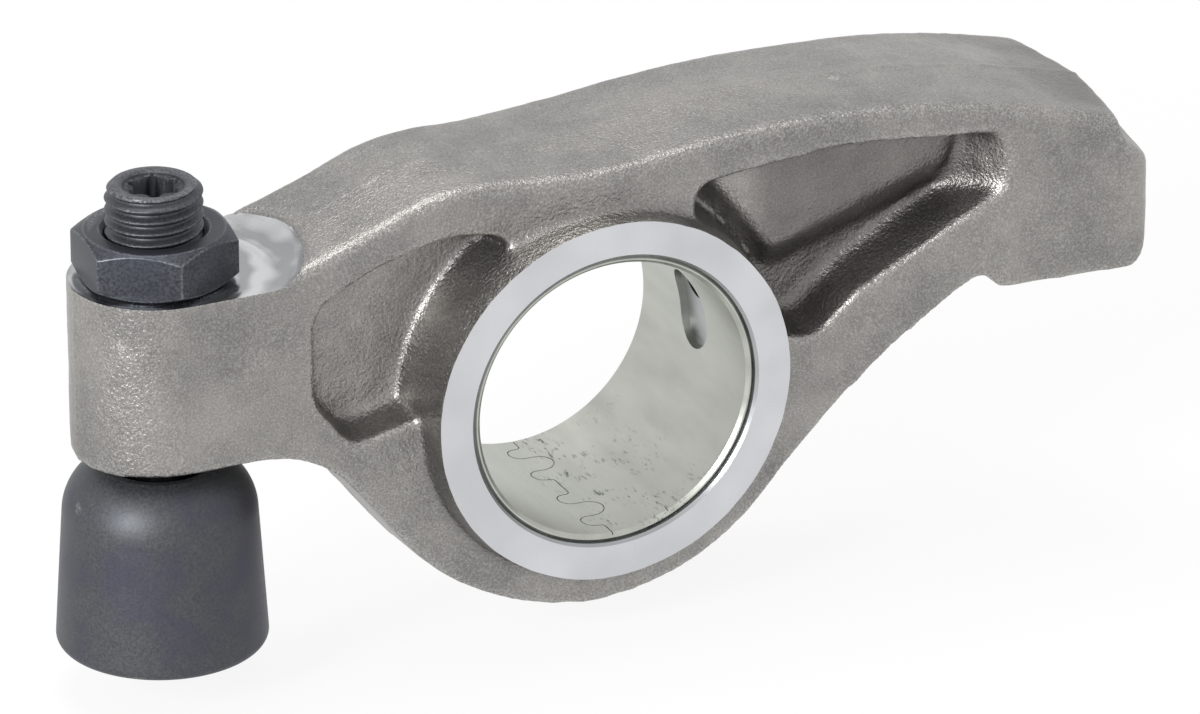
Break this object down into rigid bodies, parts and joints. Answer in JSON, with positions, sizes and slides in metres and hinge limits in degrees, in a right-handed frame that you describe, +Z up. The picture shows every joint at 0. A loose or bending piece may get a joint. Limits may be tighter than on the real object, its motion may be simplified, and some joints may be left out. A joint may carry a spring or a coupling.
{
  "type": "rocker arm",
  "caption": "Forged valve rocker arm with a bushed pivot bore, an adjusting screw with lock nut, and a ball-jointed swivel foot.",
  "frame": {"origin": "centre of the pivot bore, at the middle of its width", "axes": "+X along the arm from the adjusting screw towards the nose, +Y along the pivot bore, +Z up, parallel to the adjusting screw"},
  "size_m": [0.1422, 0.0312, 0.0618],
  "materials": {
    "forged_steel": "shot-blasted forging with machined faces",
    "bush_metal": "satin plated bearing metal",
    "plain_steel": "plain bright steel",
    "hardened_steel": "ground hardened steel",
    "dark_steel": "dark phosphated steel",
    "foot_steel": "dark hardened steel with heat tint"
  },
  "bodies": {
    "rocker": {"rocker_forging": "forged_steel", "pivot_bush": "bush_metal", "gallery_plug": "plain_steel", "pushrod_socket": "hardened_steel"},
    "screw_end": {"foot_clip": "plain_steel"},
    "screw": {"adjusting_screw": "dark_steel"},
    "foot": {"swivel_foot": "foot_steel"},
    "nut": {"lock_nut": "dark_steel"}
  },
  "joints": [
    {"name": "screw_travel", "type": "slide", "parent": "rocker", "child": "screw_end", "axis": [0, 0, 1], "range_m": [-0.006, 0.0005]},
    {"name": "screw_turn", "type": "hinge", "parent": "screw_end", "child": "screw", "pos_m": [-0.0542, 0, 0], "axis": [0, 0, 1], "range_deg": [-1440, 120]},
    {"name": "foot_tilt", "type": "hinge", "parent": "screw_end", "child": "foot", "pos_m": [-0.0542, 0, -0.014], "axis": [0, 1, 0], "range_deg": [-5, 5]},
    {"name": "lock_nut_turn", "type": "hinge", "parent": "rocker", "child": "nut", "pos_m": [-0.0542, 0, 0.021], "axis": [0, 0, 1], "range_deg": [0, 360]}
  ],
  "couplings": [
    {"joint": "screw_turn", "follows": "screw_travel", "rad_per_m": 4188.8}
  ]
}
